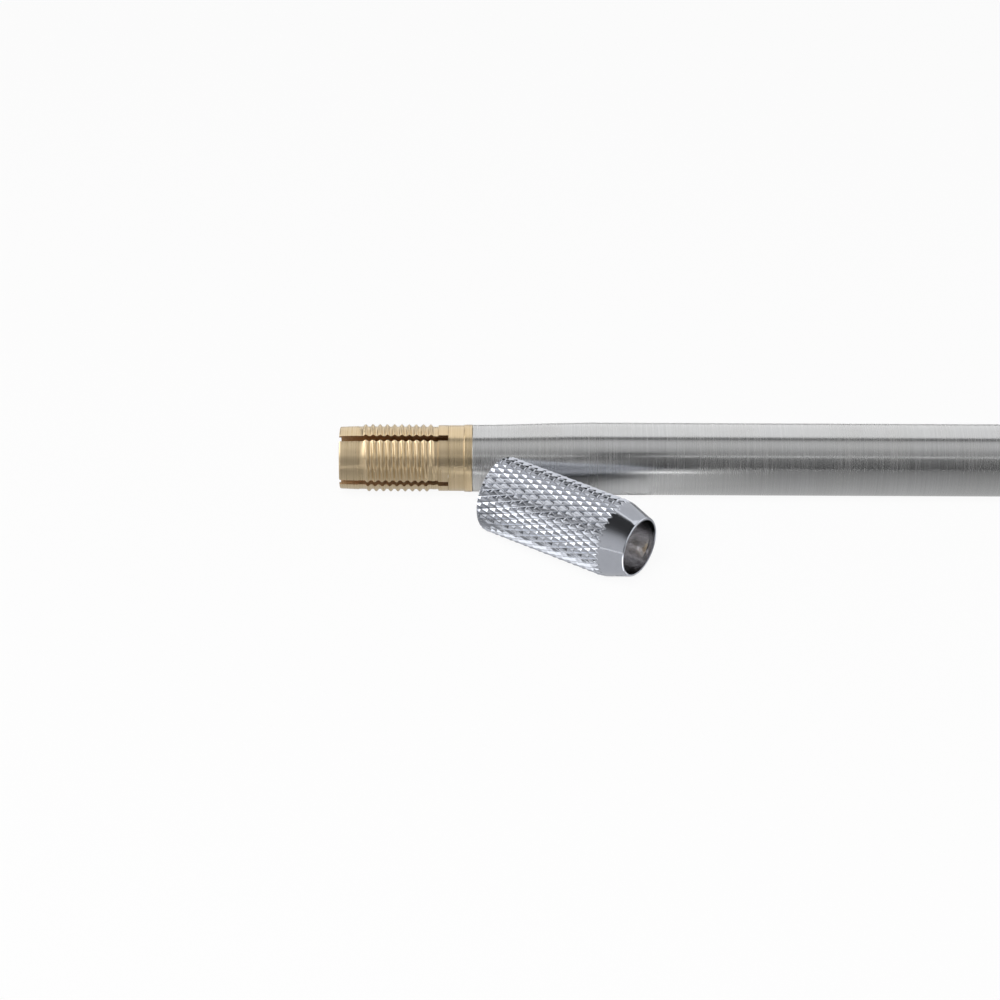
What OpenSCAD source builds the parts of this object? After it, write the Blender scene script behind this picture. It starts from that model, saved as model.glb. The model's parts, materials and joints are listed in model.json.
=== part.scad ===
// Pencil extender: a brushed steel tube with a threaded four-jaw brass collet in its
// front end, the knurled nut that closes the jaws on a pencil, and an end plug.
// The nut is off the collet and lies beside the tube, on the same table.
// +X runs along the tube, away from the mouth of the collet, and +Z is up.
// The origin is the centre of the mouth of the collet.

/* [Tube] */
// Length of the tube
tube_l = 118; // [60:1:150]
// Length over which the front end tapers down to the collet
taper_l = 17.5; // [8:0.5:30]
// How far the front end tapers down, on the radius
taper_fall = 0.385; // [0.2:0.005:1]
// Chamfer on both ends of the tube
tube_chamfer = 0.12; // [0.05:0.01:0.25]

/* [Collet] */
// Bore that the pencil goes into
collet_bore = 7.9; // [7.2:0.05:8.2]
// Wall of a jaw under the thread
jaw_wall = 0.375; // [0.3:0.025:0.5]
// Length of the plain nose in front of the thread
nose_l = 2.6; // [1.5:0.1:4]
// How far the back of the nose stands above the thread's root, on the radius
nose_step = 0.05; // [0.02:0.01:0.1]
// How far the nose narrows towards its tip, on the radius
nose_fall = 0.1; // [0.04:0.01:0.14]
// Rounding on the outer edge of the tip
tip_edge_r = 0.2; // [0.1:0.05:0.3]
// Length of the threaded stretch
thread_l = 11; // [8:0.1:14]
// Height of the thread, from root to crest
thread_depth = 0.32; // [0.25:0.01:0.45]
// Pitch of the right-hand thread
thread_pitch = 1; // [0.75:0.05:1.25]
// Length of the plain neck behind the thread
neck_l = 3.6; // [3:0.1:6]
// How far the neck lies below the thread's crest, on the radius
neck_step = 0.1; // [0.05:0.01:0.2]
// Width of the flange that seats on the tube
flange_l = 1.1; // [0.6:0.1:2]
// How far the flange stands above the neck, on the radius
flange_step = 0.1; // [0.05:0.01:0.2]
// Length of the shank inside the tube
shank_l = 8; // [5:0.5:15]
// How far the shank is wider than the pencil bore, on the radius
shank_step = 0.05; // [0:0.01:0.15]
// Wall of the shank
shank_wall = 0.5; // [0.4:0.05:0.7]

/* [Slots] */
// Width of a slot between two jaws
slot_w = 0.9; // [0.5:0.05:1]
// Length of the solid neck between the slots and the flange
web_l = 2.2; // [1:0.1:2.9]
// Turn of the slots about the tube's axis, in degrees
slot_turn = 21; // [0:1:89]
// Depth of the pencil bore behind the slots
stop_depth = 2; // [0.5:0.1:3]
// Parting gap at the root of each jaw, where it bends
flex_gap = 0.04; // [0.03:0.01:0.08]

/* [Nut] */
// Radial clearance of the nut over the collet
nut_clearance = 0.075; // [0.05:0.005:0.12]
// Wall of the nut under the knurl
nut_wall = 0.38; // [0.3:0.02:0.6]
// Length of the plain counterbore at the back of the nut
skirt_l = 9.7; // [8:0.1:12]
// Length of the thread in the nut
nut_thread_l = 8.5; // [6:0.1:10]
// Length of the relief between the thread and the seat cone
relief_l = 2; // [1.5:0.1:3]
// How far the relief is wider than the root of the nut's thread, on the radius
relief_step = 0.05; // [0.02:0.01:0.1]
// Half angle of the cone that closes the jaws, in degrees
seat_angle = 20; // [15:1:30]
// Length of the cylindrical land in the mouth
land_l = 0.9; // [0.6:0.1:1.5]
// How far the mouth is narrower than the collet's bore, on the radius
mouth_step = 0.15; // [0:0.01:0.25]
// Wall at the lip of the mouth
lip_wall = 0.34; // [0.3:0.02:0.6]
// Rounding of the lip
lip_edge_r = 0.14; // [0.08:0.01:0.18]
// Half angle of the outside cone, in degrees
nose_angle = 18.5; // [14:0.5:26]
// Radius that blends the outside cone into the cylinder
shoulder_arc_r = 5; // [2:0.5:8]
// Chamfer on the outer edge of the back end
back_chamfer = 0.2; // [0.1:0.05:0.4]
// Lead-in chamfer at the back of the counterbore
skirt_chamfer = 0.12; // [0.05:0.01:0.2]

/* [Knurl] */
// Number of diamonds round the nut
knurl_count = 36; // [28:1:48]
// Depth of the knurl
knurl_depth = 0.26; // [0.15:0.01:0.4]
// Angle of the knurl's grooves to the axis, in degrees
knurl_angle = 21.5; // [20:0.5:35]

/* [End plug] */
// Length of the plug's cylindrical edge outside the tube
plug_edge_l = 0.8; // [0.4:0.1:3]
// Height of the plug's dome
dome_h = 2.2; // [1:0.1:4]
// Length of the spigot inside the tube
spigot_l = 6; // [3:0.5:12]
// Wall of the hollow spigot
spigot_wall = 1; // [0.6:0.1:2]

/* [Resting place of the nut] */
// Angle between the axes of the nut and the tube, in degrees
nut_yaw = 35.5; // [0:0.5:60]
// How far the middle of the nut's back end lies behind the tube's front end
nut_back_x = 3.7; // [1:0.1:40]
// Least gap between the nut and the full diameter of the tube
nut_gap = 0.45; // [0.05:0.05:4]

/* [Hidden] */
$fn = 72;
overrun = 1;
jaws = 4;
arc_steps = 5;
dome_steps = 12;
taper_steps = 10;

// Collet, measured from its tip
bore_r = collet_bore / 2;
root_r = bore_r + jaw_wall;
nose_r = root_r + nose_step;
crest_r = root_r + thread_depth;
neck_r = crest_r - neck_step;
flange_r = neck_r + flange_step;
thread_x = nose_l;
neck_x = thread_x + thread_l;
flange_x = neck_x + neck_l;
collet_l = flange_x + flange_l;
slot_l = flange_x - web_l;
stop_x = slot_l + stop_depth;
shank_r = bore_r + shank_step;
shank_bore_r = shank_r - shank_wall;
flange_chamfer = 0.08;

// Tube, whose front end meets the flange
tube_bore_r = shank_r;
front_step = 0.03;
front_r = flange_r - front_step;
tube_r = front_r + taper_fall;

// Nut, measured from its back end
nut_root_r = root_r + nut_clearance;
nut_crest_r = crest_r + nut_clearance;
skirt_r = max(nut_crest_r, flange_r + nut_clearance);
valley_r = skirt_r + nut_wall;
peak_r = valley_r + knurl_depth;
// The knurl's peaks stay this far below the turned surface of the nut.
peak_step = 0.015;
nut_r = peak_r + peak_step;
relief_r = nut_root_r + relief_step;
mouth_r = bore_r - mouth_step;
lip_r = mouth_r + lip_wall;
seat_l = (relief_r - mouth_r) / tan(seat_angle);
relief_x = skirt_l + nut_thread_l;
seat_x = relief_x + relief_l;
land_x = seat_x + seat_l;
nut_l = land_x + land_l;
knurl_row_l = PI * peak_r / knurl_count / tan(knurl_angle);

// Part of the knurl's first row that lies behind the nut's back end
first_row_share = 0.5;

// Outline of a thread ridge, in shares of the pitch
rise_share = 0.32;
crest_share = 0.12;
thread_shares = [0, rise_share, rise_share + crest_share, 2 * rise_share + crest_share];
thread_sides = 28;
fade_turns = 0.5;
thread_margin = 0.1;

// A turned part: the outline has [radius, place along the axis] pairs
module turned(outline) rotate_extrude() polygon(outline);

// A bar from one place on the axis to another
module bar(r, from, to) translate([0, 0, from]) cylinder(r = r, h = to - from);

// Puts a piece made along +Z onto the tube's axis, with its foot at x
module on_axis(x) translate([x, 0, 0]) rotate([0, 90, 0]) children();

// Points of an arc from angle a to angle b about a centre
function round_off(centre, r, a, b, steps = arc_steps) =
    [for (i = [0 : steps]) let (t = a + (b - a) * i / steps) centre + r * [cos(t), sin(t)]];

// Smooth step from 0 to 1
function ease(t) = t * t * (3 - 2 * t);

// Radius of the tube's outside, at a distance behind its front end
function tube_outer(x) = front_r + (tube_r - front_r) * ease(min(1, x / taper_l));

// A solid bar with a single-start right-hand thread that runs out at both ends.
// Each column of points climbs the bar, and its knots follow the helix.
module threaded_bar(root, crest, pitch, l) {
    per = len(thread_shares);
    turns = floor((l - 2 * thread_margin) / pitch - thread_shares[per - 1]);
    knots = turns * per;
    start = (l - pitch * (turns + thread_shares[per - 1] - 1 / thread_sides)) / 2;
    last = thread_sides - 1;
    top = knots + 1;
    function height(t) = (crest - root) * max(0, min(1, t / fade_turns, (turns - t) / fade_turns));
    function ring(i, r, z) = [r * cos(360 * i / thread_sides), r * sin(360 * i / thread_sides), z];
    function at(i, j) = i * (top + 1) + j;
    points = [for (i = [0 : last]) each concat(
        [ring(i, root, 0)],
        [for (k = [0 : turns - 1], m = [0 : per - 1])
            let (t = k + i / thread_sides, ridge = m == 1 || m == 2 ? height(t) : 0)
            ring(i, root + ridge, start + pitch * (t + thread_shares[m]))],
        [ring(i, root, l)])];
    strips = [for (i = [0 : last - 1], j = [0 : top - 1]) each
        [[at(i, j), at(i, j + 1), at(i + 1, j + 1)], [at(i, j), at(i + 1, j + 1), at(i + 1, j)]]];
    // The last column meets the first one a whole turn further up.
    seam = concat(
        [for (j = [0 : per]) [at(last, 0), at(0, j + 1), at(0, j)]],
        [for (j = [0 : knots - per - 1]) each
            [[at(last, j), at(last, j + 1), at(0, j + per + 1)],
             [at(last, j + 1), at(0, j + per + 2), at(0, j + per + 1)]]],
        [for (j = [knots - per : knots]) [at(last, j), at(last, j + 1), at(0, top)]]);
    ends = [[for (i = [0 : last]) at(i, 0)], [for (i = [last : -1 : 0]) at(i, top)]];
    polyhedron(points, concat(strips, seam, ends), convexity = 10);
}

// A solid bar with a diamond knurl: peaks and groove crossings alternate like a chessboard,
// and the edges between crossings are the bottoms of the two sets of grooves.
module knurled_bar(l) {
    columns = 2 * knurl_count;
    rows = ceil(l / knurl_row_l) + 1;
    function at(m, j) = j * columns + m % columns;
    function is_crossing(m, j) = (m + j) % 2 == 0;
    function corner(m, j) = let (a = 360 * m / columns, r = is_crossing(m, j) ? valley_r : peak_r)
        [r * cos(a), r * sin(a), knurl_row_l * (j - first_row_share)];
    points = [for (j = [0 : rows], m = [0 : columns - 1]) corner(m, j)];
    sides = [for (j = [0 : rows - 1], m = [0 : columns - 1])
        let (a = at(m, j), b = at(m + 1, j), c = at(m + 1, j + 1), d = at(m, j + 1))
        each is_crossing(m, j) ? [[a, c, b], [a, d, c]] : [[a, d, b], [b, d, c]]];
    ends = [[for (m = [0 : columns - 1]) at(m, 0)], [for (m = [columns - 1 : -1 : 0]) at(m, rows)]];
    polyhedron(points, concat(sides, ends), convexity = 10);
}

// Brushed steel tube, turned down to the collet's diameter at its front end
module tube() color("silver") on_axis(collet_l) turned(concat(
    [[tube_bore_r + tube_chamfer, 0], [front_r - tube_chamfer, 0]],
    [for (i = [0 : taper_steps]) let (x = tube_chamfer + (taper_l - tube_chamfer) * i / taper_steps)
        [tube_outer(x), x]],
    [[tube_r, tube_l - tube_chamfer],
     [tube_r - tube_chamfer, tube_l],
     [tube_bore_r + tube_chamfer, tube_l],
     [tube_bore_r, tube_l - tube_chamfer],
     [tube_bore_r, tube_chamfer]]));

// Domed plug pressed into the back end of the tube
module end_plug() color("silver") on_axis(collet_l + tube_l) {
    edge_r = tube_r - tube_chamfer;
    ball_r = (edge_r * edge_r + dome_h * dome_h) / (2 * dome_h);
    ball = [0, plug_edge_l + dome_h - ball_r];
    rim = asin((ball_r - dome_h) / ball_r);
    difference() {
        turned(concat(
            [[0, -spigot_l],
             [tube_bore_r - tube_chamfer, -spigot_l],
             [tube_bore_r, tube_chamfer - spigot_l],
             [tube_bore_r, 0],
             [edge_r, 0],
             [tube_r, tube_chamfer],
             [tube_r, plug_edge_l - tube_chamfer]],
            [for (p = round_off(ball, ball_r, rim, 90, dome_steps)) [max(0, p[0]), p[1]]]));
        bar(tube_bore_r - spigot_wall, -spigot_l - overrun, -tube_chamfer);
    }
}

// Ring, flange and shank of the brass collet, behind the slots
module collet_body() color("goldenrod") on_axis(0) turned([
    [bore_r, slot_l + flex_gap], [neck_r, slot_l + flex_gap],
    [neck_r, flange_x], [flange_r, flange_x],
    [flange_r, collet_l - flange_chamfer], [flange_r - flange_chamfer, collet_l],
    [shank_r, collet_l], [shank_r, collet_l + shank_l - tube_chamfer],
    [shank_r - tube_chamfer, collet_l + shank_l], [shank_bore_r, collet_l + shank_l],
    [shank_bore_r, stop_x], [bore_r, stop_x]]);

// The collet in front of its slots' ends, before it is slotted
module collet_front() difference() {
    union() {
        turned(concat(
            [[0, 0]],
            round_off([nose_r - nose_fall - tip_edge_r, tip_edge_r], tip_edge_r, -90, 0),
            [[nose_r, thread_x], [0, thread_x]]));
        translate([0, 0, thread_x]) threaded_bar(root_r, crest_r, thread_pitch, thread_l);
        bar(neck_r, neck_x, slot_l);
    }
    bar(bore_r, -overrun, slot_l + overrun);
}

// The quarter between two slots
module quarter() translate([slot_w / 2, slot_w / 2, -overrun])
    cube([crest_r + overrun, crest_r + overrun, slot_l + 2 * overrun]);

// One jaw of the brass collet
module collet_jaw(number) color("goldenrod") on_axis(0) intersection() {
    collet_front();
    rotate(slot_turn + 360 / jaws * (number - 1)) quarter();
}

// Outside of the nut as it is turned: the shoulder's arc runs into the cone of the nose
module nut_blank() {
    shoulder = [nut_r - shoulder_arc_r, nut_l - lip_edge_r
        - (nut_r - shoulder_arc_r * (1 - cos(nose_angle)) - lip_r) / tan(nose_angle)
        - shoulder_arc_r * sin(nose_angle)];
    turned(concat(
        [[0, 0], [nut_r - back_chamfer, 0], [nut_r, back_chamfer]],
        round_off(shoulder, shoulder_arc_r, 0, nose_angle),
        round_off([lip_r - lip_edge_r, nut_l - lip_edge_r], lip_edge_r, 0, 90),
        [[0, nut_l]]));
}

// Chromed nut with its knurl, counterbore, thread, seat cone and mouth
module nut() color("lightsteelblue") difference() {
    intersection() {
        nut_blank();
        knurled_bar(nut_l);
    }
    turned([[0, -overrun], [skirt_r + skirt_chamfer + overrun, -overrun],
            [skirt_r, skirt_chamfer], [skirt_r, skirt_l], [0, skirt_l]]);
    translate([0, 0, skirt_l]) threaded_bar(nut_root_r, nut_crest_r, thread_pitch, nut_thread_l);
    turned([[0, relief_x], [relief_r, relief_x], [relief_r, seat_x], [mouth_r, land_x],
            [mouth_r, nut_l + overrun], [0, nut_l + overrun]]);
}

// The nut lying on the table, its back end nearest the tube
module clamping_nut()
    translate([collet_l + nut_back_x, -tube_r - nut_r * cos(nut_yaw) - nut_gap, nut_r - tube_r])
        rotate([0, 90, -nut_yaw]) nut();

tube();
end_plug();
collet_body();
collet_jaw(1);  // collet_jaw_1
collet_jaw(2);  // collet_jaw_2
collet_jaw(3);  // collet_jaw_3
collet_jaw(4);  // collet_jaw_4
clamping_nut();
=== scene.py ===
import bpy
import json
import math
import numpy as np
from mathutils import Matrix, Vector


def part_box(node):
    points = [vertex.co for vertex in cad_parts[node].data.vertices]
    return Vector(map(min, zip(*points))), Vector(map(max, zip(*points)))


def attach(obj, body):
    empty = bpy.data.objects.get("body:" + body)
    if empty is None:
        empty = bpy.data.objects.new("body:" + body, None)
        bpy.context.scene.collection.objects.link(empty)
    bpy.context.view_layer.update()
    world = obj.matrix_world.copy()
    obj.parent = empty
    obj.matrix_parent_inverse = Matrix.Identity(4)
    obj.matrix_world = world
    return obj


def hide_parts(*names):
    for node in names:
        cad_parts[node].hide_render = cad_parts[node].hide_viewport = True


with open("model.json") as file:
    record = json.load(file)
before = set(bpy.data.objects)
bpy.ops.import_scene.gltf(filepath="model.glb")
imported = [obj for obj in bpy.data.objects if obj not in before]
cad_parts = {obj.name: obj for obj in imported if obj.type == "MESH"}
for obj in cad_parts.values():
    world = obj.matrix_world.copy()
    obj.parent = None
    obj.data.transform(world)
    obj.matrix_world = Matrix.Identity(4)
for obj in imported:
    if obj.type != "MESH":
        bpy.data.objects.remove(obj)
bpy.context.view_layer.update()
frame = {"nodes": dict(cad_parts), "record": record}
mm = 0.001
print("frame loaded:", len(frame["nodes"]), "nodes")


# places that the frame gives

def mount(name):
    return next(m for m in frame["record"]["mounts"] if m["name"] == name)


tubeLow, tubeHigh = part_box("tube")
bodyLow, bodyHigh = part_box("collet_body")
plugLow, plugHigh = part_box("end_plug")
tubeRadius = tubeHigh.z
boreRadius = mount("pencil_bore")["dims"]["r_mm"] * mm
mouthMount = mount("nut_mouth")
mouthRadius = mouthMount["dims"]["r_mm"] * mm
cadThreadSide = 1 / 28  # the solids' threads have 28 sides in a turn


# mesh helpers

def linkObject(name, data):
    obj = bpy.data.objects.new(name, data)
    bpy.context.scene.collection.objects.link(obj)
    return obj


def addObject(name, points, faces, sharpAngle=30):
    mesh = bpy.data.meshes.new(name)
    mesh.from_pydata([tuple(p) for p in points], [], [tuple(f) for f in faces])
    mesh.validate()
    mesh.shade_smooth()
    mesh.set_sharp_from_angle(angle=math.radians(sharpAngle))
    return linkObject(name, mesh)


def arc(centreX, centreR, radius, start, stop, steps=6):
    # points of a rounding in an outline, as (x, r); angle 0 points along +x, 90 outwards
    angles = [math.radians(start + (stop - start) * i / steps) for i in range(steps + 1)]
    return [(centreX + radius * math.cos(a), centreR + radius * math.sin(a)) for a in angles]


def turn(name, outline, steps):
    # a closed outline of (x, r) pairs, turned about the X axis; a point at r = 0 is a pole
    pole = 1e-9
    angles = [2 * math.pi * k / steps for k in range(steps)]
    points, rings = [], []
    for x, r in outline:
        if r < pole:
            rings.append([len(points)] * steps)
            points.append((x, 0, 0))
        else:
            rings.append(list(range(len(points), len(points) + steps)))
            points += [(x, r * math.cos(a), r * math.sin(a)) for a in angles]
    faces = []
    for a, b in zip(rings, rings[1:] + rings[:1]):
        if a[0] == a[1] and b[0] == b[1]:
            continue
        for k in range(steps):
            n = (k + 1) % steps
            face = [a[k], a[n], b[n], b[k]]
            faces.append([v for j, v in enumerate(face) if v not in face[:j]])
    return addObject(name, points, faces)


def gridFaces(rows, wide):
    # quads between the points of a grid that was filled row by row
    return [(i * wide + k, i * wide + k + 1, (i + 1) * wide + k + 1, (i + 1) * wide + k)
            for i in range(rows - 1) for k in range(wide - 1)]


def ease(t):
    return t * t * (3 - 2 * t)


# shader helpers

def newGroup(name, inputs, outputs):
    tree = bpy.data.node_groups.new(name, "ShaderNodeTree")
    for label, kind, value in inputs:
        socket = tree.interface.new_socket(name=label, in_out="INPUT", socket_type=kind)
        socket.default_value = value
    for label in outputs:
        tree.interface.new_socket(name=label, in_out="OUTPUT", socket_type="NodeSocketFloat")
    return tree, tree.nodes.new("NodeGroupInput"), tree.nodes.new("NodeGroupOutput")


def placeGroup(tree, group, vector, **values):
    node = tree.nodes.new("ShaderNodeGroup")
    node.node_tree = group
    tree.links.new(vector, node.inputs["Vector"])
    for label, value in values.items():
        node.inputs[label.replace("_", " ")].default_value = value
    return node


def fill(tree, socket, value):
    # a value is another node's output or a fixed one
    if isinstance(value, bpy.types.NodeSocket):
        tree.links.new(value, socket)
    else:
        socket.default_value = value


def mathNode(tree, operation, a, b):
    node = tree.nodes.new("ShaderNodeMath")
    node.operation = operation
    fill(tree, node.inputs[0], a)
    fill(tree, node.inputs[1], b)
    return node.outputs[0]


def sumNode(tree, a, shareA, b, shareB):
    return mathNode(tree, "ADD", mathNode(tree, "MULTIPLY", a, shareA),
                    mathNode(tree, "MULTIPLY", b, shareB))


def rangeNode(tree, value, source, target=(0.0, 1.0)):
    node = tree.nodes.new("ShaderNodeMapRange")
    tree.links.new(value, node.inputs["Value"])
    for label, v in zip(("From Min", "From Max", "To Min", "To Max"), (*source, *target)):
        node.inputs[label].default_value = v
    return node.outputs["Result"]


def noiseNode(tree, vector, scale, detail, rough=0.5, distortion=0.0):
    node = tree.nodes.new("ShaderNodeTexNoise")
    tree.links.new(vector, node.inputs["Vector"])
    fill(tree, node.inputs["Scale"], scale)
    node.inputs["Detail"].default_value = detail
    node.inputs["Roughness"].default_value = rough
    node.inputs["Distortion"].default_value = distortion
    return node.outputs["Fac"]


def mixColour(tree, factor, a, b):
    node = tree.nodes.new("ShaderNodeMix")
    node.data_type = "RGBA"
    tree.links.new(factor, node.inputs["Factor"])
    for socket, value in ((node.inputs[6], a), (node.inputs[7], b)):
        fill(tree, socket, (*value, 1) if isinstance(value, tuple) else value)
    return node.outputs[2]


# effects that all the metals share

wear = {
    "fine": {"scale": 1.0, "rough": 0.7, "share": 0.7},
    "coarse": {"scale": 0.37, "rough": 0.6, "share": 0.3},
    "lineRange": (0.32, 0.68), "patchRange": (0.35, 0.65), "speckRange": (0.66, 0.74),
    "patchColour": 0.22, "speckColour": 0.25,  # how far patches and specks change the colour
    "lineGloss": 0.7, "patchGloss": 0.3,       # shares of lines and patches in the gloss
}


def lineGroup(look):
    # fine lines left by a tool that went round the X axis
    tree, given, made = newGroup("toolLines", [
        ("Vector", "NodeSocketVector", (0, 0, 0)),
        ("Across", "NodeSocketVector", (9000, 90, 90)),
        ("Contrast", "NodeSocketFloat", 1.0)], ["Height", "Mask"])
    stretch = tree.nodes.new("ShaderNodeVectorMath")
    stretch.operation = "MULTIPLY"
    tree.links.new(given.outputs["Vector"], stretch.inputs[0])
    tree.links.new(given.outputs["Across"], stretch.inputs[1])
    fine, coarse = look["fine"], look["coarse"]
    fineNoise = noiseNode(tree, stretch.outputs[0], fine["scale"], 2.0, fine["rough"])
    coarseNoise = noiseNode(tree, stretch.outputs[0], coarse["scale"], 2.0, coarse["rough"])
    both = sumNode(tree, fineNoise, fine["share"], coarseNoise, coarse["share"])
    centred = mathNode(tree, "SUBTRACT", both, 0.5)
    lifted = mathNode(tree, "MULTIPLY", centred, given.outputs["Contrast"])
    height = mathNode(tree, "ADD", lifted, 0.5)
    tree.links.new(height, made.inputs["Height"])
    tree.links.new(rangeNode(tree, height, look["lineRange"]), made.inputs["Mask"])
    return tree


def smudgeGroup(look):
    # soft patches from handling, and small specks
    tree, given, made = newGroup("handling", [
        ("Vector", "NodeSocketVector", (0, 0, 0)),
        ("Patch Scale", "NodeSocketFloat", 160.0),
        ("Speck Scale", "NodeSocketFloat", 2600.0)], ["Patches", "Specks"])
    vector = given.outputs["Vector"]
    patch = noiseNode(tree, vector, given.outputs["Patch Scale"], 4.0, distortion=0.6)
    speck = noiseNode(tree, vector, given.outputs["Speck Scale"], 1.0)
    tree.links.new(rangeNode(tree, patch, look["patchRange"]), made.inputs["Patches"])
    tree.links.new(rangeNode(tree, speck, look["speckRange"]), made.inputs["Specks"])
    return tree


toolLines = lineGroup(wear)
handling = smudgeGroup(wear)


# finishes

finishes = {
    "brushedSteel": {
        "light": (0.69, 0.695, 0.70), "dark": (0.60, 0.605, 0.61), "stain": (0.56, 0.55, 0.53),
        "rough": (0.20, 0.30), "across": (7400, 60, 60), "bump": 0.16, "depth": 0.02 * mm,
        "anisotropic": 0.75, "patches": 120.0, "contrast": 1.3},
    "turnedBrass": {
        "light": (0.87, 0.705, 0.48), "dark": (0.72, 0.56, 0.33), "stain": (0.68, 0.53, 0.34),
        "rough": (0.25, 0.35), "across": (6000, 40, 40), "bump": 0.14, "depth": 0.02 * mm,
        "anisotropic": 0.5, "patches": 260.0, "contrast": 1.4},
    "boredBrass": {
        "light": (0.62, 0.41, 0.23), "dark": (0.47, 0.29, 0.15), "stain": (0.42, 0.26, 0.14),
        "rough": (0.32, 0.48), "across": (6000, 40, 40), "bump": 0.14, "depth": 0.02 * mm,
        "anisotropic": 0.0, "patches": 260.0, "contrast": 1.2},
    "brightChrome": {
        "light": (0.645, 0.67, 0.735), "dark": (0.595, 0.62, 0.685), "stain": (0.605, 0.63, 0.685),
        "rough": (0.07, 0.14), "across": (900, 500, 500), "bump": 0.03, "depth": 0.01 * mm,
        # the last colour is that of dirt and painted shade at the bottom of the knurl's grooves
        "anisotropic": 0.0, "patches": 420.0, "contrast": 0.8, "soilAndShade": (0.30, 0.315, 0.345)},
    "bareNickel": {
        "light": (0.75, 0.745, 0.76), "dark": (0.68, 0.675, 0.69), "stain": (0.63, 0.625, 0.635),
        "rough": (0.08, 0.16), "across": (900, 500, 500), "bump": 0.03, "depth": 0.01 * mm,
        "anisotropic": 0.0, "patches": 420.0, "contrast": 0.8},
}


def metal(name, look):
    # a worked metal: tool lines in colour, gloss and height, then patches and specks over them
    material = bpy.data.materials.new(name)
    material.use_nodes = True
    tree = material.node_tree
    shader = tree.nodes["Principled BSDF"]
    place = tree.nodes.new("ShaderNodeTexCoord").outputs["Object"]
    lines = placeGroup(tree, toolLines, place, Across=look["across"], Contrast=look["contrast"])
    marks = placeGroup(tree, handling, place, Patch_Scale=look["patches"])
    patches, specks = marks.outputs["Patches"], marks.outputs["Specks"]
    colour = mixColour(tree, lines.outputs["Mask"], look["dark"], look["light"])
    faint = mathNode(tree, "MULTIPLY", patches, wear["patchColour"])
    colour = mixColour(tree, faint, colour, look["stain"])
    faint = mathNode(tree, "MULTIPLY", specks, wear["speckColour"])
    colour = mixColour(tree, faint, colour, look["dark"])
    if "soilAndShade" in look:
        # dirt and painted shade at the bottom of the grooves, where the mesh says so
        groove = tree.nodes.new("ShaderNodeAttribute")
        groove.attribute_name = "groove"
        colour = mixColour(tree, groove.outputs["Fac"], colour, look["soilAndShade"])
    tree.links.new(colour, shader.inputs["Base Color"])
    gloss = sumNode(tree, lines.outputs["Mask"], wear["lineGloss"], patches, wear["patchGloss"])
    tree.links.new(rangeNode(tree, gloss, (0.0, 1.0), look["rough"]), shader.inputs["Roughness"])
    shader.inputs["Metallic"].default_value = 1.0
    shader.inputs["Anisotropic"].default_value = look["anisotropic"]
    if look["anisotropic"]:
        # a quarter turn, so that the gloss is drawn out across the lines
        shader.inputs["Anisotropic Rotation"].default_value = 0.25
        tangent = tree.nodes.new("ShaderNodeTangent")
        tangent.direction_type = "RADIAL"
        tangent.axis = "X"
        tree.links.new(tangent.outputs["Tangent"], shader.inputs["Tangent"])
    bump = tree.nodes.new("ShaderNodeBump")
    bump.inputs["Strength"].default_value = look["bump"]
    bump.inputs["Distance"].default_value = look["depth"]
    tree.links.new(lines.outputs["Height"], bump.inputs["Height"])
    tree.links.new(bump.outputs["Normal"], shader.inputs["Normal"])
    return material


metals = {name: metal(name, look) for name, look in finishes.items()}
print("finishes made")


def finish(obj, outer, inner=None, isInner=None):
    # one metal all over, or a second one on the faces that isInner picks
    obj.data.materials.append(metals[outer])
    if inner:
        obj.data.materials.append(metals[inner])
        for face in obj.data.polygons:
            if isInner(face):
                face.material_index = 1


# steel tube

tubeLook = {
    "frontRadius": 4.615 * mm,
    "boreRadius": 4.0 * mm,
    "taper": 17.5 * mm,
    "taperSteps": 24,
    "lengths": 24,  # parts of the plain tube, so that long faces don't turn into slivers
    "edge": 0.12 * mm,
    "steps": 224,
}


def makeTube(look):
    front, back, edge = tubeLow.x, tubeHigh.x, look["edge"]
    thin, bore, taper = look["frontRadius"], look["boreRadius"], look["taper"]
    outline = arc(front + edge, thin - edge, edge, 180, 90)
    for i in range(1, look["taperSteps"] + 1):
        x = edge + (taper - edge) * i / look["taperSteps"]
        outline.append((front + x, thin + (tubeRadius - thin) * ease(x / taper)))
    plain = back - edge - front - taper
    outline += [(front + taper + plain * i / look["lengths"], tubeRadius)
                for i in range(1, look["lengths"])]
    outline += arc(back - edge, tubeRadius - edge, edge, 90, 0)
    outline += [(back, bore + edge), (back - edge, bore),
                (front + edge, bore), (front, bore + edge)]
    return turn("steelTube", outline, look["steps"])


steelTube = makeTube(tubeLook)
finish(steelTube, "brushedSteel")
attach(steelTube, "handle")
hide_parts("tube")
print("tube made")


# end plug

plugLook = {
    "rim": 0.8 * mm,
    "edge": 0.12 * mm,
    "spigotWall": 1.0 * mm,
    "domeSteps": 28,
    "steps": 192,
}


def makePlug(look):
    seat, tip, start, edge = tubeHigh.x, plugHigh.x, plugLow.x, look["edge"]
    spigot = tubeLook["boreRadius"]
    hollow = spigot - look["spigotWall"]
    foot = tubeRadius - edge
    dome = tip - seat - look["rim"]
    ball = (foot * foot + dome * dome) / (2 * dome)
    rimAngle = math.asin(foot / ball)
    outline = [(start, hollow), (start, spigot - edge), (start + edge, spigot), (seat, spigot)]
    outline += arc(seat + edge, foot, edge, 180, 90)
    outline += arc(seat + look["rim"] - edge, foot, edge, 90, 0, 4)[:-1]
    for i in range(look["domeSteps"]):
        angle = rimAngle * (1 - i / look["domeSteps"])
        outline.append((tip - ball + ball * math.cos(angle), ball * math.sin(angle)))
    outline += [(tip, 0), (seat - edge, 0), (seat - edge, hollow)]
    return turn("endPlug", outline, look["steps"])


endPlug = makePlug(plugLook)
finish(endPlug, "brushedSteel")
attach(endPlug, "handle")
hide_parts("end_plug")
print("end plug made")


# brass collet: the ring behind the slots, and the four threaded jaws

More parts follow.
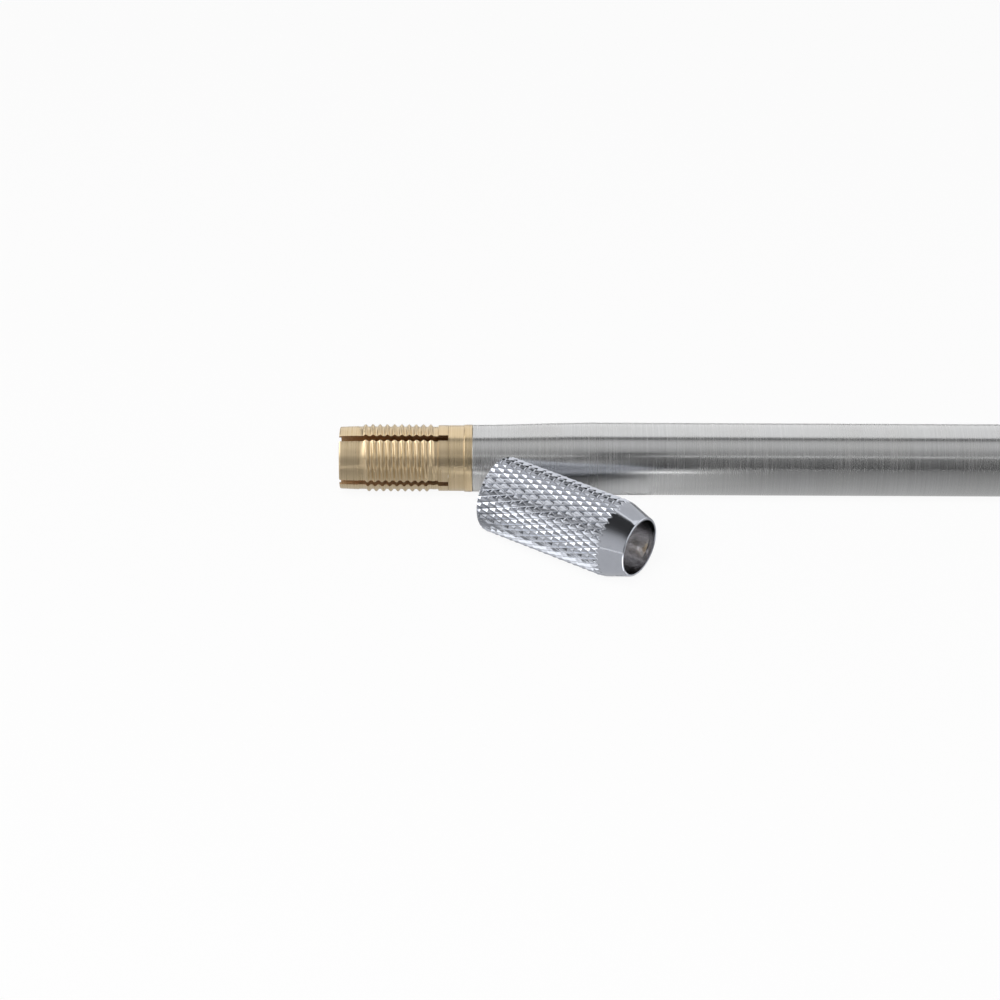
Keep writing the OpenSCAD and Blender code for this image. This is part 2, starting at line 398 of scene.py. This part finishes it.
colletLook = {
    "noseRadius": 4.375 * mm, "noseLength": 2.6 * mm, "noseFall": 0.1 * mm, "noseRows": 8,
    "tipEdge": 0.2 * mm,
    "rootRadius": 4.325 * mm, "crestRadius": 4.645 * mm, "threadLength": 11.0 * mm,
    "pitch": 1.0 * mm, "ridges": 10,
    "fade": 0.5,          # turns in which the thread's ends run out
    # one thread ridge: (share of the pitch, share of the height)
    "ridge": [(0.0, 0.0), (0.05, 0.10), (0.26, 0.86), (0.31, 0.98), (0.38, 1.0),
              (0.45, 0.98), (0.50, 0.86), (0.71, 0.10), (0.76, 0.0), (0.88, 0.0)],
    "neckRadius": 4.545 * mm, "neckEnd": 15.0 * mm,
    # steps from the nose to the thread and from there to the neck: (x past the step's
    # place, depth below the neck)
    "noseStep": [(0.02 * mm, 0.22 * mm)],
    "neckStep": [(-0.01 * mm, 0.22 * mm), (0.03 * mm, 0.04 * mm), (0.07 * mm, 0.0)],
    "flangeStart": 17.2 * mm, "flangeRadius": 4.645 * mm, "flangeEdge": 0.06 * mm,
    "markWidth": 0.06 * mm, "markDepth": 0.02 * mm,
    "shankBore": 3.5 * mm, "shankEdge": 0.12 * mm, "stopPlace": 17.0 * mm,
    "slotWidth": 0.9 * mm, "slotTurn": 21.0, "brokenEdge": 0.05 * mm,
    "ringSteps": 224, "jawColumns": 40, "jawSharp": 42,
}


def makeRing(look):
    edge, neck, flange = look["flangeEdge"], look["neckRadius"], look["flangeRadius"]
    start, bore, stop = look["flangeStart"], look["shankBore"], look["stopPlace"]
    front, seat, back = bodyLow.x, tubeLow.x, bodyHigh.x
    shank = tubeLook["boreRadius"]
    outline = [(front, boreRadius), (front, neck)]
    # a tool mark runs round the neck in front of the flange
    outline += [(start - look["markWidth"], neck),
                (start - look["markWidth"] / 2, neck - look["markDepth"]), (start, neck)]
    outline += arc(start + edge, flange - edge, edge, 150, 90, 4)
    outline += arc(seat - edge, flange - edge, edge, 90, 0, 4)
    outline += [(seat, shank), (back - look["shankEdge"], shank), (back, shank - look["shankEdge"]),
                (back, bore), (stop, bore), (stop, boreRadius)]
    return turn("colletRing", outline, look["ringSteps"])


def ringBore(face):
    # the shank's bore has gone dull and brown
    slack = 0.01 * mm
    return math.hypot(face.center.y, face.center.z) < colletLook["shankBore"] + slack


colletRing = makeRing(colletLook)
finish(colletRing, "turnedBrass", "boredBrass", ringBore)
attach(colletRing, "handle")
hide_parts("collet_body")


def colletRows(look):
    # rows of a jaw from the tip to the bending line: (x, radius, the ridge's number or None,
    # share of the ridge's height)
    tip, fall, noseEnd = look["tipEdge"], look["noseFall"], look["noseLength"]
    neck, neckStart = look["neckRadius"], look["noseLength"] + look["threadLength"]
    profile = arc(tip, look["noseRadius"] - fall - tip, tip, 180, 90)
    for i in range(1, look["noseRows"] + 1):
        share = i / look["noseRows"]
        profile.append((tip + (noseEnd - tip) * share, look["noseRadius"] - fall * (1 - share)))
    profile += [(noseEnd + x, neck - depth) for x, depth in look["noseStep"]]
    rows = [(x, r, None, 0) for x, r in profile]
    turns = look["ridges"] + look["ridge"][-2][0] - cadThreadSide
    start = noseEnd + (look["threadLength"] - look["pitch"] * turns) / 2
    for k in range(look["ridges"]):
        for place, lift in look["ridge"]:
            rows.append((start + look["pitch"] * (k + place), look["rootRadius"], k, lift))
    rows += [(neckStart + x, neck - depth, None, 0) for x, depth in look["neckStep"]]
    rows += [(neckStart + (look["neckEnd"] - neckStart) * share, neck, None, 0)
             for share in (0.5, 0.75, 1.0)]
    return rows


def makeJaw(number, look):
    rows = colletRows(look)
    columns = look["jawColumns"]
    wide = columns + 1
    half = look["slotWidth"] / 2
    startAngle = look["slotTurn"] + 90 * (number - 1)
    depth = look["crestRadius"] - look["rootRadius"]

    def surface(row, angle):
        # a row of the thread moves along the axis as it goes round
        x, r, ridge, lift = row
        if ridge is None:
            return x, r
        turns = ridge + angle / 360
        grow = max(0, min(1, turns / look["fade"], (look["ridges"] - turns) / look["fade"]))
        return x + look["pitch"] * angle / 360, r + depth * lift * ease(grow)

    def spot(row, share, radius=None):
        # the slot's walls are flat, so the edge's angle depends on the radius; it settles
        # after a few passes
        angle = startAngle + 90 * share
        for _ in range(4):
            x, r = surface(row, angle)
            r = radius or r
            gap = math.degrees(math.asin(half / r))
            angle = startAngle + gap + (90 - 2 * gap) * share
        a = math.radians(angle)
        return (x, r * math.sin(a), -r * math.cos(a))

    shares = [c / columns for c in range(wide)]
    points = [spot(row, share) for row in rows for share in shares]
    inner = len(points)
    points += [spot(row, share, boreRadius) for row in rows for share in shares]

    def at(i, c):
        return i * wide + c

    faces = []
    for i in range(len(rows) - 1):
        for c in range(columns):
            a, b, e, f = at(i, c), at(i, c + 1), at(i + 1, c + 1), at(i + 1, c)
            faces += [(a, b, e, f), (inner + a, inner + f, inner + e, inner + b)]
        for c, flip in ((0, False), (columns, True)):
            face = (at(i, c), at(i + 1, c), inner + at(i + 1, c), inner + at(i, c))
            faces.append(face[::-1] if flip else face)
    for i, flip in ((0, False), (len(rows) - 1, True)):
        for c in range(columns):
            face = (at(i, c), inner + at(i, c), inner + at(i, c + 1), at(i, c + 1))
            faces.append(face[::-1] if flip else face)
    jaw = addObject(f"colletJaw{number}", points, faces, look["jawSharp"])

    # the bore and the slots have gone dull and brown, the front face hasn't
    front = set(range(wide)) | set(range(inner, inner + wide))
    finish(jaw, "turnedBrass", "boredBrass",
           lambda face: max(face.vertices) >= inner and not front.issuperset(face.vertices))
    bevel = jaw.modifiers.new("brokenEdges", "BEVEL")
    bevel.limit_method = "WEIGHT"
    bevel.width = look["brokenEdge"]
    bevel.segments = 2
    weights = jaw.data.attributes.new("bevel_weight_edge", "FLOAT", "EDGE")
    sides = {at(i, c) for i in range(len(rows)) for c in (0, columns)}
    for edge in jaw.data.edges:
        a, b = edge.vertices
        if a in sides and b in sides and abs(a - b) == wide:
            weights.data[edge.index].value = 1.0
    return jaw


for number in range(1, 5):
    jaw = makeJaw(number, colletLook)
    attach(jaw, f"jaw_{number}")
    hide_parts(f"collet_jaw_{number}")
print("collet made")


# clamping nut

nutLook = {
    "length": 22.8859 * mm, "radius": 5.375 * mm, "backEdge": 0.2 * mm,
    "peakRadius": 5.36 * mm, "valleyRadius": 5.1 * mm, "diamonds": 36, "grooveAngle": 21.5,
    "cut": 7,             # mesh steps across half a diamond
    "grooveRound": 0.05,  # softness of a groove's bottom, as a share of half a diamond
    "flat": 0.90,         # share of the height at which a diamond's tip ends
    "flatRound": 0.03,    # softness of the tip's edge
    "soilAndShade": 0.17,         # share of a groove's depth that dirt and painted shade fill
    "noseAngle": 18.5, "shoulder": 5.0 * mm, "shoulderSteps": 24,
    "plainStart": 5.05 * mm, "plainRows": 4,  # below this radius one row in four is enough
    "lipRadius": 4.14 * mm, "lipEdge": 0.2 * mm, "mouthEdge": 0.06 * mm,
    "land": 0.9 * mm, "landBreak": 0.02 * mm,
    "reliefRadius": 4.45 * mm, "reliefLength": 2.0 * mm,
    "rootRadius": 4.4 * mm, "threadLength": 8.5 * mm, "threadDepth": 0.32 * mm,
    "pitch": 1.0 * mm, "ridges": 7, "fade": 0.5,
    "ridge": [(0.0, 0.0), (0.05, 0.08), (0.28, 0.92), (0.38, 1.0), (0.48, 0.92),
              (0.71, 0.08), (0.76, 0.0)],
    "skirtRadius": 4.72 * mm, "skirtLength": 9.7 * mm, "skirtEdge": 0.12 * mm,
    "sharp": 55,
}


def nutPlace(look):
    # from the mouth's mount: the nut's own X axis, and its back end
    axis = Vector(mouthMount["axis"])
    back = Vector(mouthMount["pos_m"]) - axis * (look["length"] - look["land"] / 2)
    up = Vector((0, 0, 1))
    turned = Matrix((axis, up.cross(axis), up)).transposed().to_4x4()
    return Matrix.Translation(back) @ turned


def blankRadius(look, x):
    # the turned outside before the knurl: back edge, body, shoulder and cone
    angle = math.radians(look["noseAngle"])
    lip, big, bend = look["lipRadius"], look["radius"], look["shoulder"]
    lipStart = look["length"] - look["lipEdge"]
    fall = big - bend * (1 - math.cos(angle)) - lip
    bendStart = lipStart - fall / math.tan(angle) - bend * math.sin(angle)
    rounding = np.array(arc(bendStart, big - bend, bend, 90, 90 - look["noseAngle"],
                            look["shoulderSteps"]))
    coneX, coneR = rounding[-1]
    r = np.where(x < look["backEdge"], big - look["backEdge"] + x, big)
    r = np.where(x > bendStart, np.interp(x, rounding[:, 0], rounding[:, 1]), r)
    cone = coneR - (x - coneX) * (coneR - lip) / (lipStart - coneX)
    return np.where(x > coneX, cone, r)


def outsideRows(look, step):
    # even rows that meet the knurl's crossings, with fewer on the smooth cone in front
    lipStart = look["length"] - look["lipEdge"]
    even = [step * i for i in range(int(lipStart / step) + 1)]
    plain = [x for x in even if blankRadius(look, x) < look["plainStart"]]
    even = [x for x in even if x not in plain or plain.index(x) % look["plainRows"] == 0]
    if lipStart - even[-1] < step * 0.3:  # no sliver of a row right behind the lip
        even.pop()
    return np.array(sorted(even + [look["backEdge"], look["backEdge"] / 2, lipStart]))


def knurledOutside(look, along, row, turns):
    # radius of every point, the way in which its square's groove runs, and the dirt and painted
    # shade in it.
    # row and turns are counted in half diamonds
    m, j = np.meshgrid(np.floor(turns), np.floor(row))
    u, v = np.meshgrid(turns - np.floor(turns), row - np.floor(row))
    rising = (m + j) % 2 == 0
    away = np.where(rising, np.abs(u - v), np.abs(u + v - 1))
    soft, flat = look["grooveRound"], look["flat"]
    height = np.sqrt(away ** 2 + soft ** 2) - soft
    # the tip is cut flat where the turned surface was
    over = flat - height
    height = flat - 0.5 * (over + np.sqrt(over ** 2 + look["flatRound"] ** 2))
    knurl = look["valleyRadius"] + (look["peakRadius"] - look["valleyRadius"]) * height / flat
    blank = blankRadius(look, along)[:, None] + 0 * knurl
    # dirt and painted shade: a darker colour at the bottom of each groove, fading out towards the
    # tips, where the grooves' shade falls
    soilAndShade = np.clip(1 - height / flat / look["soilAndShade"], 0, 1) * (knurl < blank)
    return np.minimum(knurl, blank), rising, soilAndShade


def nutThread(look, share):
    # rings of the inside thread from its front to its back; share is each column's part of a turn
    turns = look["ridges"] + look["ridge"][-1][0] - cadThreadSide
    begin = look["skirtLength"] + (look["threadLength"] - look["pitch"] * turns) / 2
    rings = []
    for k in reversed(range(look["ridges"])):
        for place, lift in reversed(look["ridge"]):
            t = k + share
            grow = np.clip(np.minimum(t, look["ridges"] - t) / look["fade"], 0, 1)
            rings.append((begin + look["pitch"] * (t + place),
                          look["rootRadius"] + look["threadDepth"] * lift * grow))
    return rings


def nutFaces(count, columns, outer, rising, threadStart, threadEnd, perTurn):
    # rising says how a square of the knurl is split; perTurn is the number of rings in one
    # turn of the thread, whose rings run from threadStart to threadEnd
    faces = []
    last, flatRing = columns - 1, 1e-4 * mm
    for i in range(count):
        n = (i + 1) % count
        knurled = i < len(outer) - 1 and np.ptp(outer[i]) > flatRing
        for c in range(columns):
            if c == last and threadStart <= i < threadEnd:
                continue
            d = (c + 1) % columns
            a, b, e, f = i * columns + c, i * columns + d, n * columns + d, n * columns + c
            if c == last and i == threadStart - 1:
                faces.append((a, b, f))
            elif knurled and rising[i, c]:
                # a square is split along its groove
                faces += [(a, b, e), (a, e, f)]
            elif knurled:
                faces += [(a, b, f), (b, e, f)]
            else:
                faces.append((a, b, e, f))
    # the thread's seam: the last column meets the first one a whole turn further up
    for i in range(threadStart, threadEnd):
        a, f = i * columns + last, (i + 1) * columns + last
        b, e = (max(threadStart - 1, k - perTurn) * columns for k in (i, i + 1))
        faces.append((a, b, f) if b == e else (a, b, e, f))
    end = threadEnd * columns + last
    first = [i * columns for i in range(threadEnd - perTurn, threadEnd + 1)]
    faces += [(end, a, b) for a, b in zip(first, first[1:])]
    return faces


def makeNut(look):
    halfDiamonds = 2 * look["diamonds"]
    columns = halfDiamonds * look["cut"]
    turns = np.arange(columns) / look["cut"]
    angles = 2 * np.pi * turns / halfDiamonds
    halfWidth = math.pi * look["peakRadius"] / look["diamonds"]
    halfLength = halfWidth / math.tan(math.radians(look["grooveAngle"]))
    along = outsideRows(look, halfLength / look["cut"])
    outer, rising, soilAndShade = knurledOutside(look, along, along / halfLength + 0.5, turns)
    rings = list(zip(along, outer))

    # the lip, then back down the inside
    edge, lipEdge, gap = look["mouthEdge"], look["lipEdge"], look["landBreak"]
    rings += arc(look["length"] - lipEdge, look["lipRadius"] - lipEdge, lipEdge, 90, 0)[1:]
    rings += arc(look["length"] - edge, mouthRadius + edge, edge, 0, -90, 4)
    insideStart = (len(rings) - 1) * columns
    landX = look["length"] - look["land"]
    reliefX = look["skirtLength"] + look["threadLength"]
    rings += [(landX + gap, mouthRadius), (landX - gap, mouthRadius + gap / 2),
              (reliefX + look["reliefLength"], look["reliefRadius"]),
              (reliefX, look["reliefRadius"]), (reliefX, look["rootRadius"])]
    threadStart = len(rings)
    rings += nutThread(look, turns / halfDiamonds)
    threadEnd = len(rings) - 1
    skirt, skirtEdge = look["skirtRadius"], look["skirtEdge"]
    rings += [(look["skirtLength"], look["rootRadius"]), (look["skirtLength"], skirt),
              (skirtEdge, skirt), (0.0, skirt + skirtEdge)]

    place = nutPlace(look)
    turned, shift = np.array(place.to_3x3()), np.array(place.translation)
    cloud = []
    for x, r in rings:
        # the piece's own angle 0 points down, as the collet's does
        local = np.stack([x + 0 * angles, r * np.sin(angles), -r * np.cos(angles)], axis=1)
        cloud.append(local @ turned.T + shift)
    points = np.concatenate(cloud)
    faces = nutFaces(len(rings), columns, outer, rising, threadStart, threadEnd, len(look["ridge"]))
    nut = addObject("clampingNut", points, faces, look["sharp"])
    # the chrome hardly reaches the inside, so behind the mouth the nickel under it shows
    finish(nut, "brightChrome", "bareNickel", lambda face: min(face.vertices) >= insideStart)
    # dirt and painted shade fill the bottom of the grooves, for the chrome's darker colour there
    groove = np.zeros(len(points), np.float32)
    groove[:soilAndShade.size] = soilAndShade.ravel()
    nut.data.attributes.new("groove", "FLOAT", "POINT").data.foreach_set("value", groove)
    return nut


clampingNut = makeNut(nutLook)
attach(clampingNut, "nut")
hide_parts("clamping_nut")
print("nut made:", len(clampingNut.data.polygons), "faces")


# camera

cameraLook = {
    "elevation": 32.07, "distance": 426 * mm, "lens": 110.7, "sensor": 36,
    "targetX": 22.16 * mm, "targetUp": -5.78 * mm, "roll": 0.25,
    "clip": (0.01, 20),
}


def addCamera(look):
    data = bpy.data.cameras.new("camera")
    data.lens = look["lens"]
    data.sensor_width = look["sensor"]
    data.clip_start, data.clip_end = look["clip"]
    camera = linkObject("camera", data)
    e = math.radians(look["elevation"])
    back = Vector((0, -math.cos(e), math.sin(e)))
    up = Vector((0, math.sin(e), math.cos(e)))
    target = Vector((look["targetX"], 0, 0)) + up * look["targetUp"]
    camera.location = target + back * look["distance"]
    level = Matrix((Vector((1, 0, 0)), up, back)).transposed()
    roll = Matrix.Rotation(math.radians(look["roll"]), 3, "Z")
    camera.rotation_mode = "QUATERNION"
    camera.rotation_quaternion = (level @ roll).to_quaternion()
    bpy.context.scene.camera = camera


addCamera(cameraLook)


# floor, cards and light

# levels of painted light and shade on the floor in front of the tube, for the sheets below
tubeRows = [(0.5, 0.54), (4, 0.50), (8, 0.40), (14, 0.33), (28, 0.27), (60, 0.24),
            (150, 0.18), (400, 0.10)]

studio = {
    "floorSize": 6.0, "floorColour": (0.80, 0.80, 0.80), "floorRough": 0.9,
    # what the floor and the world show to the camera, and the floor to gloss
    "floorWhite": 0.93, "floorGloss": 0.0, "white": 1.0,
    "skyLight": 0.22,
    "keyPlace": (-0.12, -0.40, 0.48), "keySize": (0.5, 0.4), "keyPower": 4.0,
    # cards that only show in the metal. "over" runs from the front horizon over the top to
    # the back, "side" from left to right, both in degrees; "farSide" is for the far end of
    # a card. Levels run along "over". A card with a centre stands close to that place
    "cardDistance": 2.0, "cardSteps": 12,
    "cards": {
        "frontCard": {"over": (-1, 38), "side": (-11, 32), "levels": (0.05, 0.08, 0.17)},
        "leftFrontCard": {"over": (-1, 52), "side": (-62, -11), "levels": (0.70, 0.56, 0.42),
                          "distance": 0.3},
        "topCard": {"over": (41, 94), "side": (-38, 38),
                    "levels": (0.26, 0.33, 0.46, 0.58, 0.60, 0.50)},
        "topGap": {"over": (94, 106), "side": (-60, 60), "levels": (0.16, 0.12, 0.20)},
        "backRightCard": {"over": (112, 178), "side": (17, 40), "levels": (0.60, 0.60)},
        "backLeftCard": {"over": (122, 166), "side": (-46, -19), "farSide": (-32, -7.5),
                         "levels": (0.10, 0.04, 0.04, 0.04, 0.10)},
        "leftLight": {"over": (50, 150), "side": (-70, -48), "levels": (1.7, 1.8)},
        "sparkCard": {"over": (50, 150), "side": (-70, -48), "levels": (2.5, 2.9),
                      "centre": (30 * mm, -14 * mm, 0), "distance": 75 * mm},
        "leftDark": {"over": (-4, 50), "side": (-89, -62), "levels": (0.12, 0.12)},
        "rightLight": {"over": (-1, 150), "side": (42, 76), "levels": (1.1, 1.3)},
        # a narrow dark flag close to the nut's nose
        "noseFlag": {"over": (-6, 100), "side": (-60, -20), "farSide": (-8, 19),
                     "levels": (0.55, 0.55, 0.54, 0.50, 0.42, 0.22, 0.06, 0.04, 0.04, 0.04, 0.04),
                     "centre": (40 * mm, -22.5 * mm, 3 * mm), "distance": 20 * mm},
    },
    # graded sheets of painted light and shade on the floor, which only the metal shows, in front of
    # the tube or along the nut.
    # A row is a pair of distance in front of that axis in mm and level; an end is a pair of place
    # along the axis in mm and share of that level, the rest is the bare floor's
    "bareFloor": 0.60, "firstLift": 0.04 * mm, "nextLift": 0.01 * mm,
    "sheets": {
        "brassSheet": {"rows": tubeRows[:6], "ends": [(-14, 0.3), (-8, 1), (12, 1), (17.5, 0.5)]},
        "tubeSheet": {"rows": tubeRows, "ends": [(43, 0), (60, 1), (260, 1)]},
        # the nut's painted shadow close to its axis, then a painted pool of light further out
        "nutSheet": {"rows": [(0, 0.10), (2, 0.30), (4, 0.50), (5.5, 0.85), (7, 1.5), (11, 1.5),
                              (16, 0.9)], "ends": [(0.5, 1), (17.5, 1)], "alongNut": True},
        "noseSheet": {"rows": [(2, 0.54), (60, 0.56)], "ends": [(17.6, 1), (30, 1)],
                      "alongNut": True},
        # a painted pool of light on the floor for the nut's lip
        "lipSheet": {"rows": [(27, 2.2), (40, 2.2)], "ends": [(39.5, 1), (50, 1)]},
    },
}


def cardMaterial():
    # light of the strength that the card's points carry
    material = bpy.data.materials.new("card")
    material.use_nodes = True
    tree = material.node_tree
    tree.nodes.remove(tree.nodes["Principled BSDF"])
    level = tree.nodes.new("ShaderNodeAttribute")
    level.attribute_name = "level"
    glow = tree.nodes.new("ShaderNodeEmission")
    tree.links.new(level.outputs["Fac"], glow.inputs["Strength"])
    tree.links.new(glow.outputs[0], tree.nodes["Material Output"].inputs["Surface"])
    return material


def addStage(name, points, faces, material):
    mesh = bpy.data.meshes.new(name)
    mesh.from_pydata(points, [], faces)
    mesh.materials.append(material)
    obj = linkObject(name, mesh)
    return obj


def addGlow(name, points, faces, levels, material):
    obj = addStage(name, points, faces, material)
    obj.data.attributes.new("level", "FLOAT", "POINT").data.foreach_set("value", levels)
    obj.visible_camera = False
    obj.visible_diffuse = False
    obj.visible_shadow = False


def addCard(name, card, look, material):
    # a patch of a sphere round the object, or round its own centre
    steps = look["cardSteps"]
    centre = Vector(card.get("centre", (0, 0, 0)))
    reach = card.get("distance", look["cardDistance"])
    near, far = card["side"], card.get("farSide", card["side"])
    low, high = card["over"]
    places = np.linspace(0, 1, len(card["levels"]))
    points, levels = [], []
    for i in range(steps + 1):
        over = math.radians(low + (high - low) * i / steps)
        left, right = (near[k] + (far[k] - near[k]) * i / steps for k in (0, 1))
        for k in range(steps + 1):
            side = math.radians(left + (right - left) * k / steps)
            way = Vector((math.sin(side), -math.cos(side) * math.cos(over),
                          math.cos(side) * math.sin(over)))
            points.append(centre + reach * way)
            levels.append(float(np.interp(i / steps, places, card["levels"])))
    addGlow(name, points, gridFaces(steps + 1, steps + 1), levels, material)


def addSheet(name, sheet, look, lift, material):
    place = nutPlace(nutLook) if "alongNut" in sheet else Matrix.Identity(4)
    bare = look["bareFloor"]
    points, levels = [], []
    for front, level in sheet["rows"]:
        for x, share in sheet["ends"]:
            spot = place @ Vector((x * mm, -front * mm, 0))
            points.append((spot.x, spot.y, -tubeRadius + lift))
            levels.append(bare + (level - bare) * share)
    addGlow(name, points, gridFaces(len(sheet["rows"]), len(sheet["ends"])), levels, material)


def seenDirectly(tree, byCamera, byGloss):
    # a share for rays from the camera, and one for rays from gloss and through glass
    path = tree.nodes.new("ShaderNodeLightPath")
    seen = mathNode(tree, "MULTIPLY", path.outputs["Is Camera Ray"], byCamera)
    gloss = mathNode(tree, "MAXIMUM", path.outputs["Is Glossy Ray"],
                     path.outputs["Is Transmission Ray"])
    return mathNode(tree, "MAXIMUM", seen, mathNode(tree, "MULTIPLY", gloss, byGloss))


def addFloor(look):
    material = bpy.data.materials.new("paleFloor")
    material.use_nodes = True
    tree = material.node_tree
    shader = tree.nodes["Principled BSDF"]
    shader.inputs["Base Color"].default_value = (*look["floorColour"], 1)
    shader.inputs["Roughness"].default_value = look["floorRough"]
    shader.inputs["Specular IOR Level"].default_value = 0.0
    glow = tree.nodes.new("ShaderNodeEmission")
    glow.inputs["Strength"].default_value = look["white"]
    mix = tree.nodes.new("ShaderNodeMixShader")
    tree.links.new(seenDirectly(tree, look["floorWhite"], look["floorGloss"]), mix.inputs["Fac"])
    tree.links.new(shader.outputs[0], mix.inputs[1])
    tree.links.new(glow.outputs[0], mix.inputs[2])
    tree.links.new(mix.outputs[0], tree.nodes["Material Output"].inputs["Surface"])
    half = look["floorSize"] / 2
    corners = [(x * half, y * half, -tubeRadius) for x, y in ((-1, -1), (1, -1), (1, 1), (-1, 1))]
    addStage("floor", corners, [(0, 1, 2, 3)], material)


def addWorld(look):
    world = bpy.data.worlds.new("studio")
    bpy.context.scene.world = world
    world.use_nodes = True
    tree = world.node_tree
    light = tree.nodes["Background"]
    light.inputs["Color"].default_value = (1, 1, 1, 1)
    seen = seenDirectly(tree, 1.0, 1.0)
    strength = rangeNode(tree, seen, (0.0, 1.0), (look["skyLight"], look["white"]))
    tree.links.new(strength, light.inputs["Strength"])


def addKey(look):
    data = bpy.data.lights.new("key", "AREA")
    data.shape = "RECTANGLE"
    data.size, data.size_y = look["keySize"]
    data.energy = look["keyPower"]
    key = linkObject("key", data)
    key.location = look["keyPlace"]
    key.rotation_mode = "QUATERNION"
    key.rotation_quaternion = Vector(look["keyPlace"]).to_track_quat("Z", "Y")
    key.visible_glossy = False


def addStudio(look):
    addFloor(look)
    addWorld(look)
    lit = cardMaterial()
    for name, card in look["cards"].items():
        addCard(name, card, look, lit)
    for order, (name, sheet) in enumerate(look["sheets"].items()):
        addSheet(name, sheet, look, look["firstLift"] + look["nextLift"] * order, lit)
    addKey(look)


addStudio(studio)
bpy.context.scene.view_settings.view_transform = "Standard"
print("studio made")
